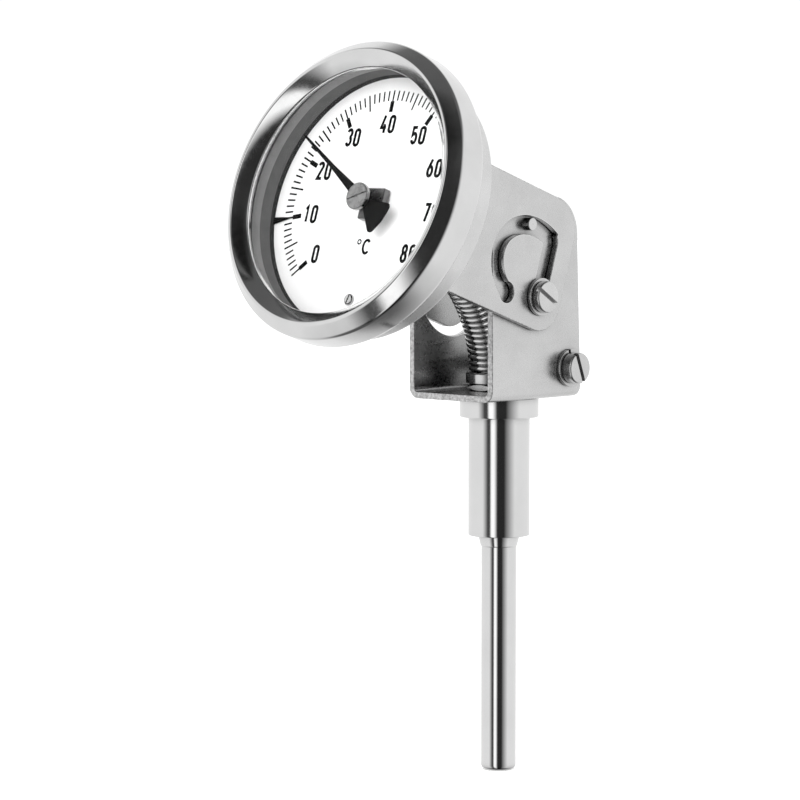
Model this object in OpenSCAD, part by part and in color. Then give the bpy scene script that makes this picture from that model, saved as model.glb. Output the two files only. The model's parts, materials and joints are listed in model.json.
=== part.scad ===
// Industrial dial thermometer, nominal size 63, with a rigid stem and a tilting case.
// Units are millimetres. +Z runs up along the stem, the dial faces -Y at rest,
// and the origin lies on the stem's axis in the underside of the collar.

/* [Stem] */
// Diameter of the immersion stem
stem_d = 8; // [6:0.5:9]
// Depth of the stem's tip below the collar
stem_depth = 80.5; // [50:0.5:160]
// Diameter of the sleeve above the thin stem
sleeve_d = 14; // [12:0.5:16]
// Length of the sleeve below the collar
sleeve_len = 27; // [18:0.5:40]
// Diameter of the collar under the bracket
collar_d = 18; // [17:0.5:22]
// Height of the collar
collar_h = 4.5; // [3:0.5:8]

/* [Fixed bracket] */
// Outer width of the U-shaped bracket
bracket_w = 25; // [24:0.5:30]
// Sheet thickness of both brackets
sheet = 1.5; // [1:0.1:1.5]
// Front edge of the bracket, in front of the stem's axis
bracket_front = 16.5; // [14:0.5:20]
// Back edge of the bracket at its floor, behind the stem's axis
bracket_back = 13.8; // [13:0.1:16]
// Lean of the back edge towards the front at the upper corner
back_lean = 1.3; // [0:0.1:2]
// Height of the bracket's top above the origin
bracket_top = 50; // [49:0.1:51]

/* [Tilt guide] */
// Clamp screw: distance in front of the stem's axis
clamp_front = 2.6; // [0:0.1:4]
// Clamp screw: height above the origin
clamp_z = 27.7; // [26:0.1:30]
// Guide pin: distance in front of the stem's axis
pin_front = 5.2; // [3:0.1:6]
// Guide pin: height above the origin
pin_z = 43.9; // [42:0.1:45]
// Width of the straight leg of the horseshoe slot
leg_w = 4.7; // [4.5:0.1:5]
// Width of the curved part of the slot
curve_w = 3.9; // [3.5:0.1:4.5]
// Tilt of the dial's axis above the horizontal, as shown
tilt_rest = 18.5; // [0:0.5:90]
// Greatest tilt, with the dial past face up
tilt_max = 130; // [90:1:130]
// Slide of the case along the slot for each degree of tilt
slide_per_deg = 0.092; // [0.088:0.001:0.1]

/* [Case] */
// Distance of the dial's centre in front of the stem's axis
dial_front = 42; // [40:0.5:45]
// Height of the dial's centre above the origin
dial_z = 49; // [47:0.5:51]
// Outer radius of the bezel ring
bezel_r = 33.7; // [33:0.1:36]
// Outer radius of the case cup
case_r = 29.9; // [29.5:0.1:31]
// Radius of the dial plate
dial_r = 29; // [28:0.1:29]
// Half height of the arms of the case bracket
arm_half = 15.2; // [14:0.1:16]
// Distance of the arms' back end behind the dial
arm_reach = 51.7; // [50:0.1:54]

/* [Pointer] */
// Shown temperature in degrees Celsius
reading = 23.2; // [0:0.1:80]
// Position of the set marker in degrees Celsius
marker_at = 9.9; // [0:0.1:80]
// Sweep of the scale from 0 to 80 degrees Celsius
sweep = 260.5; // [240:0.5:280]

/* [Spring tube] */
// Outer radius of the spring
spring_r = 7; // [6.5:0.1:7]
// Wire diameter
wire_d = 1.25; // [1:0.05:1.3]
// Length of the spring's centre line
spring_len = 47; // [46:0.5:48]

/* [Hidden] */
$fn = 96;

steel = [0.78, 0.79, 0.80];
bright = [0.86, 0.87, 0.88];
dark = [0.10, 0.10, 0.11];
brass = [0.78, 0.64, 0.36];

// Stem
tube_bore_r = 3;
tube_top = -8;
tube_neck_r = 3.5;
tip_r = 1.6;
neck_len = 2.5;
bore_r = 2;
spigot_r = 5;
spigot_top = 9.4;
bimetal_low = 2.2;
bimetal_turns = 15;
bimetal_pitch = 2;
shaft_r = 0.8;

// Fixed bracket
floor_z = collar_h;
floor_top = floor_z + sheet;
wall_x = bracket_w / 2;
bend_r = 2.5;
bracket_crop = 60;
bracket_corner_r = 8.7;
opening_r = 10.7;
opening_front = 3.2;
opening_z = 28.8;
bolt_back = 9.5;
bolt_z = 11.2;

// Fasteners
m4_r = 2;
m4_free = 2.1;
head_r = 3.5;
clamp_head_h = 1.7;
bolt_head_h = 2.6;
driver_w = 1;
driver_deep = 0.9;
washer_r = 4.2;
washer_h = 1;
nut_h = 2.4;
nut_r = 4.04;
pin_r = 1.4;

// Case bracket and slot, in the case's own frame
arm_gap = 0.15;
arm_in = wall_x + arm_gap;
arm_out = arm_in + sheet;
arm_top_r = 8;
arm_low_r = 7;
case_back = -4.8;
base_back = case_back - sheet;
clamp_dy = dial_front - clamp_front;
clamp_dz = clamp_z - dial_z;
clamp_h = -clamp_dy * cos(tilt_rest) + clamp_dz * sin(tilt_rest);
clamp_q = clamp_dy * sin(tilt_rest) + clamp_dz * cos(tilt_rest);
pins_apart = norm([pin_front - clamp_front, pin_z - clamp_z]);
pins_lean = atan2(pin_front - clamp_front, pin_z - clamp_z);
slot_steps = 56;
slot_start = -13;
slot_rise = 0.65;
slot_ease = 0.25;

// Spring
links = 6;
spring_low = 10.2;
bend_total = 90 - tilt_rest;
rest_slope = -0.3;
coil_r = spring_r - wire_d / 2;
coil_pitch = 1.62;
end_gap = 1.75;
link_len = spring_len / links;
flex_r = 1.25;
flex_gap = 0.4;

// Case interior, heights in front of the dial's face
dial_t = 0.5;
cup_wall = 0.7;
cup_front = 5.4;
glass_low = 5.5;
glass_t = 1.5;
window_r = 28.9;
lip_r = 27.8;
bezel_t = 0.4;
socket_in = 7.9;
socket_out = 8.8;
socket_face = -12.2;
socket_mouth = -17.4;
pointer_h = 4.1;
needle_tip = 25;
hub_r = 3.1;
hub_top = 5.2;
scale_turn = -1.5;

// Angle on the dial of a temperature, clockwise from the top
function dial_angle(t) = (t - 40) / 80 * sweep + scale_turn;

// Share of the bend taken by each link, falling evenly along the spring
function share(i) = (1 + rest_slope * ((2 * i - 1) / links - 1)) / links;
function bend_at(i) = i < 1 ? 0 : bend_at(i - 1) + share(i) * bend_total;
function piece_len(i) = (i == 0 || i == links) ? link_len / 2 : link_len;
// Lower end of link i, as [distance in front of the stem's axis, height]
function joint_at(i) = i == 0 ? [0, spring_low]
    : joint_at(i - 1) + piece_len(i - 1) * [sin(bend_at(i - 1)), cos(bend_at(i - 1))];

// Place of the guide pin in the case's frame at a tilt, as [up, forward]
function pin_at(tilt) = [
    clamp_q + slide_per_deg * (tilt - tilt_rest) + pins_apart * sin(90 - tilt - pins_lean),
    clamp_h + pins_apart * cos(90 - tilt - pins_lean)];
function clamp_at(tilt) = [clamp_q + slide_per_deg * (tilt - tilt_rest), clamp_h];
function unit(v) = v / norm(v);
// Share of the extra room that the slot has above the guide pin
function upper(tilt) = max(0, min(1, 1 - tilt / 60));
function slot_side(tilt, w) =
    let (d = unit(pin_at(tilt + 0.5) - pin_at(tilt - 0.5))) pin_at(tilt) + w * [-d[1], d[0]];

// Points along an arc
function arc(c, r, from, to, n = 12) =
    [for (i = [0:n]) c + r * [cos(from + (to - from) * i / n), sin(from + (to - from) * i / n)]];

module at_case() {
    translate([0, -dial_front, dial_z]) rotate([90 - tilt_rest, 0, 0]) children();
}

// Extrudes an outline drawn in Y and Z along +X
module along_x(from, to) {
    translate([from, 0, 0]) rotate([90, 0, 90]) linear_extrude(to - from) children();
}

// U-shaped sheet section, open at the top, with its floor on the X axis
module u_section(half, high) {
    for (s = [-1, 1]) {
        translate([s * (half - sheet / 2), (high + bend_r) / 2])
            square([sheet, high - bend_r], center = true);
        intersection() {
            translate([s * (half - bend_r), bend_r]) difference() {
                circle(bend_r);
                circle(bend_r - sheet);
            }
            translate([s * (half - bend_r / 2), bend_r / 2]) square(bend_r, center = true);
        }
    }
    translate([0, sheet / 2]) square([2 * (half - bend_r), sheet], center = true);
}

// Rod along +X between two places
module rod_x(r, from, to, y, z) {
    translate([from, y, z]) rotate([0, 90, 0]) cylinder(r = r, h = to - from);
}

module hex_x(r, from, to, y, z) {
    translate([from, y, z]) rotate([0, 90, 0]) cylinder(r = r, h = to - from, $fn = 6);
}

module ring(r_out, r_in, low, high) {
    translate([0, 0, low]) rotate_extrude() translate([r_in, 0]) square([r_out - r_in, high - low]);
}

// Slotted cheese head whose face looks along +X
module slotted_head(x, y, z, high, turn) {
    difference() {
        rod_x(head_r, x, x + high, y, z);
        translate([x + high, y, z]) rotate([turn, 0, 0])
            cube([2 * driver_deep, 3 * head_r, driver_w], center = true);
    }
}

module stem_body() {
    color(bright) difference() {
        rotate_extrude() polygon([
            [bore_r, tube_top], [tube_neck_r + 0.01, tube_top],
            [tube_neck_r + 0.01, -sleeve_len - neck_len],
            [stem_d / 2 + 0.15, -sleeve_len - neck_len], [stem_d / 2 + 0.75, -sleeve_len],
            [sleeve_d / 2 - 0.3, -sleeve_len], [sleeve_d / 2, -sleeve_len + 0.3],
            [sleeve_d / 2, 0], [collar_d / 2 - 0.3, 0], [collar_d / 2, 0.3],
            [collar_d / 2, collar_h], [spigot_r, collar_h], [spigot_r, spigot_top],
            [bore_r, spigot_top]]);
        translate([0, 0, spigot_top - 2.5]) cylinder(r = 3, h = 3);
    }
}

module immersion_tube() {
    r = stem_d / 2;
    seat = -sleeve_len - neck_len;
    color(steel) rotate_extrude() difference() {
        union() {
            translate([0, seat - 1]) square([tube_neck_r, tube_top - seat + 1]);
            translate([0, -stem_depth + tip_r]) square([r, seat + stem_depth - tip_r]);
            translate([0, -stem_depth]) square([r - tip_r, tip_r]);
            intersection() {
                translate([r - tip_r, -stem_depth + tip_r]) circle(tip_r);
                translate([r - tip_r, -stem_depth]) square(tip_r);
            }
        }
        translate([-1, -stem_depth + 1.5]) square([tube_bore_r + 1, stem_depth]);
    }
}

// Helical bimetal strip as turns joined by short bars
module bimetal_coil() {
    r = tube_bore_r - 0.3;
    low = -stem_depth + bimetal_low;
    color(brass) union() {
        for (i = [0:bimetal_turns - 1]) {
            ring(r, r - 0.4, low + i * bimetal_pitch, low + i * bimetal_pitch + 1.4);
            if (i < bimetal_turns - 1)
                rotate([0, 0, 47 * i]) translate([r - 0.35, -0.5, low + i * bimetal_pitch + 1])
                    cube([0.3, 1, 1.2]);
        }
        translate([-r + 0.2, -0.5, low + bimetal_turns * bimetal_pitch - 1.2])
            cube([2 * r - 0.4, 1, 0.6]);
    }
}

module stem_shaft() {
    low = -stem_depth + bimetal_low + bimetal_turns * bimetal_pitch - 0.6;
    color(steel) translate([0, 0, low]) cylinder(r = shaft_r, h = spring_low - low);
}

module stem_bush() {
    color(brass) ring(2.98, shaft_r + 0.05, spigot_top - 2.4, spigot_top);
}

module lock_nut() {
    color(steel) difference() {
        translate([0, 0, floor_top]) cylinder(r = 7.7, h = 1.6, $fn = 6);
        translate([0, 0, floor_top - 1]) cylinder(r = spigot_r + 0.05, h = 4);
    }
}

module spring_seat() {
    low = floor_top + 1.7;
    color(bright) difference() {
        rotate_extrude() polygon([
            [0, low], [7.55, low], [7.55, spring_low - 0.6], [6.95, spring_low],
            [coil_r - wire_d / 2 - 0.15, spring_low], [coil_r - wire_d / 2 - 0.15, spring_low + 3],
            [0, spring_low + 3]]);
        translate([0, 0, low - 1]) cylinder(r = spigot_r + 0.05, h = spigot_top + 1.1 - low);
        translate([0, 0, low]) cylinder(r = 3, h = 9);
    }
}

// Side view of the fixed bracket, with rounded upper corners
module wall_outline() {
    back_high = bracket_back - back_lean;
    corner_z = bracket_top - bracket_corner_r;
    front_y = bracket_corner_r - bracket_front;
    back_y = back_high - bracket_corner_r;
    union() {
        polygon([[-bracket_front, floor_z], [bracket_back, floor_z],
            [back_high, corner_z], [-bracket_front, corner_z]]);
        translate([front_y, corner_z]) circle(bracket_corner_r);
        translate([back_y, corner_z]) circle(bracket_corner_r);
        translate([front_y, corner_z]) square([back_y - front_y, bracket_corner_r]);
    }
}

module fixed_bracket() {
    color(steel) difference() {
        intersection() {
            translate([0, bracket_back, floor_z]) rotate([90, 0, 0])
                linear_extrude(bracket_front + bracket_back) u_section(wall_x, bracket_crop);
            along_x(-wall_x - 1, wall_x + 1) wall_outline();
        }
        translate([0, 0, floor_z - 1]) cylinder(r = spigot_r + 0.05, h = sheet + 2);
        rod_x(opening_r, -wall_x - 1, -wall_x + sheet + 1, -opening_front, opening_z);
        rod_x(m4_free, wall_x - sheet - 1, wall_x + 1, -clamp_front, clamp_z);
        rod_x(pin_r + 0.01, wall_x - sheet - 1, wall_x + 1, -pin_front, pin_z);
        rod_x(m4_free, -wall_x - 1, wall_x + 1, bolt_back, bolt_z);
    }
}

module guide_pin() {
    color(bright) union() {
        rod_x(pin_r, wall_x - sheet, arm_out + 0.3, -pin_front, pin_z);
        rod_x(pin_r + 0.5, wall_x - sheet - 0.5, wall_x - sheet, -pin_front, pin_z);
    }
}

module clamp_screw() {
    head_x = arm_out + washer_h + 0.1;
    color(steel) union() {
        slotted_head(head_x, -clamp_front, clamp_z, clamp_head_h, -32);
        rod_x(m4_r, wall_x - sheet - nut_h - 0.6, head_x, -clamp_front, clamp_z);
    }
}

// Split spring washer standing on a face that looks along +X
module split_washer(x, y, z, turn) {
    difference() {
        rod_x(washer_r, x, x + washer_h, y, z);
        rod_x(m4_free + 0.1, x - 1, x + washer_h + 1, y, z);
        translate([x + washer_h / 2, y, z]) rotate([turn, 0, 0]) translate([0, 0, washer_r])
            cube([2 * washer_h, 0.5, 2 * washer_r], center = true);
    }
}

module clamp_washer() {
    color(steel) split_washer(arm_out + 0.05, -clamp_front, clamp_z, 20);
}

module clamp_nut() {
    color(steel) difference() {
        hex_x(nut_r, wall_x - sheet - nut_h, wall_x - sheet, -clamp_front, clamp_z);
        rod_x(m4_r + 0.05, wall_x - sheet - nut_h - 1, wall_x, -clamp_front, clamp_z);
    }
}

module cross_bolt() {
    head_x = wall_x + washer_h;
    color(steel) union() {
        slotted_head(head_x, bolt_back, bolt_z, bolt_head_h, 111);
        rod_x(m4_r, -wall_x - nut_h - 1, head_x, bolt_back, bolt_z);
    }
}

module cross_bolt_washers() {
    color(steel) split_washer(wall_x, bolt_back, bolt_z, 30);
}

module cross_bolt_nut() {
    color(steel) difference() {
        hex_x(nut_r, -wall_x - nut_h, -wall_x, bolt_back, bolt_z);
        rod_x(m4_r + 0.02, -wall_x - nut_h - 1, -wall_x + 1, bolt_back, bolt_z);
    }
}

module slot_bush() {
    color(brass) difference() {
        rod_x(leg_w / 2 - 0.1, arm_in + 0.05, arm_out - 0.05, -clamp_front, clamp_z);
        rod_x(m4_r + 0.06, arm_in - 1, arm_out + 1, -clamp_front, clamp_z);
    }
}

module on_link(i) {
    p = joint_at(i);
    translate([0, -p[0], p[1]]) rotate([bend_at(i), 0, 0]) children();
}

// Turns of the spring tube on one link
module spring_link(i) {
    low = i == 0 ? wire_d / 2 : end_gap;
    high = i == links ? piece_len(i) - wire_d / 2 : piece_len(i) - end_gap;
    turns = round((high - low) / coil_pitch);
    color(bright) on_link(i) union() {
        for (k = [0:turns]) translate([0, 0, low + k * (high - low) / turns])
            rotate_extrude() translate([coil_r, 0]) circle(wire_d / 2, $fn = 24);
        for (s = [-1, 1]) translate([s * coil_r, 0, low]) cylinder(r = 0.35, h = high - low, $fn = 24);
    }
}

// Piece of the bendable shaft inside the spring
module flex_link(i) {
    low = i == 0 ? 0.1 : flex_gap;
    color(steel) on_link(i) translate([0, 0, low])
        cylinder(r = flex_r, h = piece_len(i) - low - flex_gap, $fn = 32);
}

// Horseshoe slot as one outline in the case's up and forward directions
module slot_outline() {
    tilts = [for (i = [0:slot_steps]) slot_start + i / slot_steps * (tilt_max - slot_start)];
    leg_top = clamp_at(tilt_max)[0] + 2.4;
    union() {
        polygon(concat([for (t = tilts) slot_side(t, curve_w / 2 + slot_rise * upper(t))],
            [for (i = [slot_steps:-1:0]) slot_side(tilts[i], slot_ease * upper(tilts[i]) - curve_w / 2)]));
        translate(pin_at(tilt_max)) circle(leg_w / 2);
        polygon(concat(arc(clamp_at(0), leg_w / 2, 90, 270, 16),
            arc([leg_top, clamp_h], leg_w / 2, -90, 90, 16)));
    }
}

module arm_outline() {
    difference() {
        translate([-arm_half, -arm_reach]) square([2 * arm_half, arm_reach]);
        difference() {
            translate([arm_half - arm_top_r, -arm_reach - 1]) square([arm_top_r + 1, arm_top_r + 1]);
            translate([arm_half - arm_top_r, -arm_reach + arm_top_r]) circle(arm_top_r);
        }
        difference() {
            translate([-arm_half - 1, -arm_reach - 1]) square([arm_low_r + 1, arm_low_r + 1]);
            translate([-arm_half + arm_low_r, -arm_reach + arm_low_r]) circle(arm_low_r);
        }
    }
}

module case_bracket() {
    color(steel) at_case() difference() {
        intersection() {
            translate([0, arm_half + 1, case_back]) rotate([90, 0, 0])
                linear_extrude(2 * arm_half + 2) mirror([0, 1]) u_section(arm_out, bracket_crop);
            along_x(-arm_out - 1, arm_out + 1) arm_outline();
        }
        along_x(arm_in - 1, arm_out + 1) slot_outline();
        translate([0, 0, case_back - sheet - 1]) cylinder(r = spigot_r + 0.05, h = sheet + 2);
    }
}

// Threaded socket that holds the spring's upper end and clamps the bracket to the cup
module case_socket() {
    color(bright) at_case() difference() {
        union() {
            translate([0, 0, socket_mouth]) cylinder(r = socket_out, h = base_back - socket_mouth);
            translate([0, 0, base_back - 0.1]) cylinder(r = spigot_r, h = 4.6);
        }
        translate([0, 0, socket_mouth - 1]) cylinder(r = socket_in, h = socket_face - socket_mouth + 1);
        translate([0, 0, socket_face - 1]) cylinder(r = 2.6, h = 20);
    }
}

module case_nut() {
    color(steel) at_case() difference() {
        translate([0, 0, case_back + cup_wall]) cylinder(r = 8.1, h = 2.2, $fn = 6);
        translate([0, 0, case_back]) cylinder(r = spigot_r + 0.05, h = 5);
    }
}

module case_shell() {
    edge = 1.6;
    color(steel) at_case() rotate_extrude() polygon(concat(
        [[spigot_r + 0.05, case_back + cup_wall], [spigot_r + 0.05, case_back]],
        arc([case_r - edge, case_back + edge], edge, -90, 0, 8),
        [[case_r, cup_front - cup_wall], [case_r + 1.6, cup_front - cup_wall],
            [case_r + 1.6, cup_front], [case_r - cup_wall, cup_front]],
        arc([case_r - edge, case_back + edge], edge - cup_wall, 0, -90, 8)));
}

// Section of the rolled bezel ring, shrunk by an inset
module bezel_outline(inset) {
    lip = lip_r + 1.3 * inset;
    shoulder = bezel_r - 1.5;
    foot = case_r + 0.25 + inset;
    pocket = case_r + 1.75 + inset;
    polygon(concat(
        [[window_r + inset, 7.1 + inset], [lip, 8.7 + 0.3 * inset], [lip, 9.2 - 0.4 * inset]],
        arc([bezel_r - 2.86, 11.5], 0.7 - inset, 137, 44, 10),
        arc([shoulder, 8.92], 1.5 - inset, 44, 0, 6),
        arc([shoulder, 3.9], 1.5 - inset, 0, -90, 8),
        [[foot, 2.4 + inset], [foot, 4.5 - inset], [pocket, 4.5 - inset], [pocket, 7.1 + inset]]));
}

// Thin sheet rolled over the glass and under the cup's flange
module bezel_ring() {
    color(bright) at_case() rotate_extrude() difference() {
        bezel_outline(0);
        bezel_outline(bezel_t);
        translate([case_r + 1, 4.5]) square([1.5, 2.6]);
    }
}

module window_glass() {
    color([0.85, 0.9, 0.92, 0.35]) at_case() translate([0, 0, glass_low])
        cylinder(r = case_r + 0.6, h = glass_t);
}

module glass_gasket() {
    color(dark) at_case() ring(case_r + 1.6, case_r + 0.7, cup_front + 0.05, 7.05);
}

module spacer_ring() {
    color(steel) at_case() ring(case_r - cup_wall - 0.05, dial_r - 0.4, 4, glass_low - 0.05);
}

module dial_plate() {
    color([0.96, 0.96, 0.95]) at_case() difference() {
        translate([0, 0, -dial_t]) cylinder(r = dial_r, h = dial_t);
        translate([0, 0, -1]) cylinder(r = 3.4, h = 2);
        translate([0, -22, -1]) cylinder(r = 1, h = 2);
    }
}

module dial_post() {
    color(brass) at_case() translate([0, -22, case_back + cup_wall]) difference() {
        cylinder(r = 1.8, h = -dial_t - case_back - cup_wall);
        translate([0, 0, 0.8]) cylinder(r = 0.85, h = 4);
    }
}

module dial_screw() {
    color(steel) at_case() translate([0, -22, 0]) difference() {
        union() {
            cylinder(r = 1.2, h = 0.7);
            translate([0, 0, -2.4]) cylinder(r = 0.8, h = 2.5);
        }
        translate([0, 0, 0.7]) rotate([0, 0, 75]) cube([3, 0.35, 0.6], center = true);
    }
}

// Small plate on the spindle's bearing, proud of the dial
module bearing_bridge() {
    color(steel) at_case() difference() {
        union() {
            translate([0, 0, -1.6]) cylinder(r = 3.2, h = 2.6);
            translate([-1.2, -1.25, 1]) cube([6.4, 3.9, 1.4]);
            translate([-1.1, -4.3, 1]) cube([2.4, 5, 1.4]);
        }
        translate([0, 0, -3]) cylinder(r = shaft_r + 0.05, h = 8);
    }
}

module spindle() {
    color(steel) at_case() translate([0, 0, socket_face + 1])
        cylinder(r = shaft_r, h = hub_top - 0.7 - socket_face - 1);
}

module spindle_bush() {
    color(brass) at_case() ring(2.55, shaft_r + 0.05, -6, -2.2);
}

// Needle with a fan-shaped tail, lying along +Y before it is turned
module pointer() {
    half = concat([[0.12, needle_tip], [0.36, 12.5], [0.62, 5]], arc([0, 0], 2.6, 73, -52, 12),
        [[1.7, -4.5], [3.4, -8.4], [3.2, -9]]);
    last = len(half) - 1;
    color(dark) at_case() rotate([0, 0, -dial_angle(reading)]) difference() {
        translate([0, 0, pointer_h - 0.4]) linear_extrude(0.4)
            polygon(concat(half, [for (i = [last:-1:0]) [-half[i][0], half[i][1]]]));
        translate([0, 0, pointer_h - 1]) cylinder(r = 1.3, h = 2);
    }
}

module pointer_hub() {
    color(steel) at_case() difference() {
        union() {
            translate([0, 0, pointer_h + 0.05]) cylinder(r = hub_r, h = hub_top - pointer_h - 0.05);
            translate([0, 0, pointer_h - 0.9]) cylinder(r = 1.25, h = 1.2);
        }
        translate([0, 0, -1]) cylinder(r = shaft_r, h = hub_top + 0.3);
        translate([0, 0, hub_top - 0.25]) cylinder(r = 0.45, h = 1);
        translate([0, 0, hub_top]) rotate([0, 0, 20]) cube([8, 0.5, 0.5], center = true);
    }
}

// Spring clip on the rim of the dial with a triangular tip
module set_marker() {
    color(dark) at_case() rotate([0, 0, -dial_angle(marker_at)]) union() {
        translate([0, 0, 0.1]) linear_extrude(0.35)
            polygon([[-0.85, dial_r - 0.4], [-0.1, 23.1], [0.1, 23.1], [0.85, dial_r - 0.4]]);
        translate([-0.85, dial_r - 1.6, 0.1]) cube([1.7, 1.3, 1.4]);
    }
}

stem_body();
immersion_tube();
bimetal_coil();
stem_shaft();
stem_bush();
lock_nut();
spring_seat();
fixed_bracket();
guide_pin();
clamp_screw();
clamp_washer();
clamp_nut();
cross_bolt();
cross_bolt_washers();
cross_bolt_nut();
slot_bush();
spring_link(0);  // spring_0
spring_link(1);  // spring_1
spring_link(2);  // spring_2
spring_link(3);  // spring_3
spring_link(4);  // spring_4
spring_link(5);  // spring_5
spring_link(6);  // spring_6
flex_link(0);  // flex_shaft_0
flex_link(1);  // flex_shaft_1
flex_link(2);  // flex_shaft_2
flex_link(3);  // flex_shaft_3
flex_link(4);  // flex_shaft_4
flex_link(5);  // flex_shaft_5
flex_link(6);  // flex_shaft_6
case_bracket();
case_socket();
case_nut();
case_shell();
bezel_ring();
window_glass();
glass_gasket();
spacer_ring();
dial_plate();
dial_post();
dial_screw();
bearing_bridge();
spindle();
spindle_bush();
pointer();
pointer_hub();
set_marker();
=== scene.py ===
"""Dial thermometer: the looks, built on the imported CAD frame."""

import json
import math

import bmesh
import bpy
from mathutils import Matrix, Vector
from mathutils.geometry import delaunay_2d_cdt, tessellate_polygon


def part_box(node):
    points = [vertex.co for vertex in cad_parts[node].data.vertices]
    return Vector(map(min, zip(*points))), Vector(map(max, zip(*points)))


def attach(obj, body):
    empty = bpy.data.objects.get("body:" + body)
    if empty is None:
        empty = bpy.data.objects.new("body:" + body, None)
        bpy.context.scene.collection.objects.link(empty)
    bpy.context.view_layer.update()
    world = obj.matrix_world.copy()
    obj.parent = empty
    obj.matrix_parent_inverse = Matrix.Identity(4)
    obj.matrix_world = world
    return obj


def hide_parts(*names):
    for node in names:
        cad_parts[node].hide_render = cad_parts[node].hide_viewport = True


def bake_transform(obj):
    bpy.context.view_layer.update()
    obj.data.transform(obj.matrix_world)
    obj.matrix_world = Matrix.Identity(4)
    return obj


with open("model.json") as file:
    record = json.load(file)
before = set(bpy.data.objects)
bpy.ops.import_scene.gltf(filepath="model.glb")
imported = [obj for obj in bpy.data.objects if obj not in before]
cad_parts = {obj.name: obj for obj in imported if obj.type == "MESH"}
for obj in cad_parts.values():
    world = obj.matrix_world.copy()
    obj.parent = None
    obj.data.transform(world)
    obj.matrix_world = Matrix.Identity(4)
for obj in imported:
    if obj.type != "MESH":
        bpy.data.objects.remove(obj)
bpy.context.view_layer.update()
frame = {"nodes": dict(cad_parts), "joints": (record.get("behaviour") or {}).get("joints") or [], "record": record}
MM = 0.001
NODES = frame["nodes"]


def joint(name):
    """A joint of the frame by its name."""
    return next(j for j in frame["joints"] if j["name"] == name)


def joint_ratio(name):
    """How far a coupled joint moves for each unit of the joint it follows."""
    couplings = frame["record"]["behaviour"]["couplings"]
    return next(c["ratio"] for c in couplings if c["joint"] == name)


def size(node):
    """Low and high corners of a CAD node, in millimetres."""
    low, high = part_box(node)
    return low / MM, high / MM


# ---------------------------------------------------------------- places, from the frame

DIAL = Vector(joint("pointer_turn")["pos_m"]) / MM
OUT = -Vector(joint("pointer_turn")["axis"]).normalized()
RIGHT = Vector((1, 0, 0))
UP = OUT.cross(RIGHT)
CASE = Matrix((RIGHT, UP, OUT)).transposed().to_4x4()
CASE.translation = DIAL
STEM = Matrix.Identity(4)
CLAMP = Vector(joint("tilt")["pos_m"]) / MM
TILT = math.degrees(math.asin(OUT.z))
TILT_MAX = TILT + joint("tilt")["range_deg"][1]
CLIMB = joint_ratio("slot_slide") / MM * math.pi / 180


def in_case(point):
    """A point of the frame as (right, up, out) from the dial's centre."""
    away = Vector(point) - DIAL
    return Vector((away.dot(RIGHT), away.dot(UP), away.dot(OUT)))


# ---------------------------------------------------------------- sizes, in millimetres

SHEET = 1.5
BEND = 2.5
RIM = 0.22
ARM_HALF_WIDE = 14.15
CUP_WALL = 0.7
DIAL_R = size("dial_plate")[1].x
BEZEL_R = size("bezel_ring")[1].x
CUP_R = 29.9
LIP_R = 27.8
CUP_BACK = -4.8
SWEEP = 260.5
SCALE_TURN = -1.5
READING = 23.2
COIL_R = 6.33
WIRE_R = 0.67
SPRING_LONG = 47
COIL_PITCH = 1.62
LINKS = 6
REST_SLOPE = -0.3
PRINT_H = 0.03
STEM_TIP = size("immersion_tube")[0].z
SPRING_LOW = 10.2
BRACKET_OPENING = (-3.2, 28.8)
BRACKET_OPENING_R = 10.7
GUIDE_PIN = Vector((0, -5.2, 43.9))
MARKER_AT = 9.9
HUB_TOP = 5.2
POINTER_TOP = 4.1


# ---------------------------------------------------------------- node materials


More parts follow.
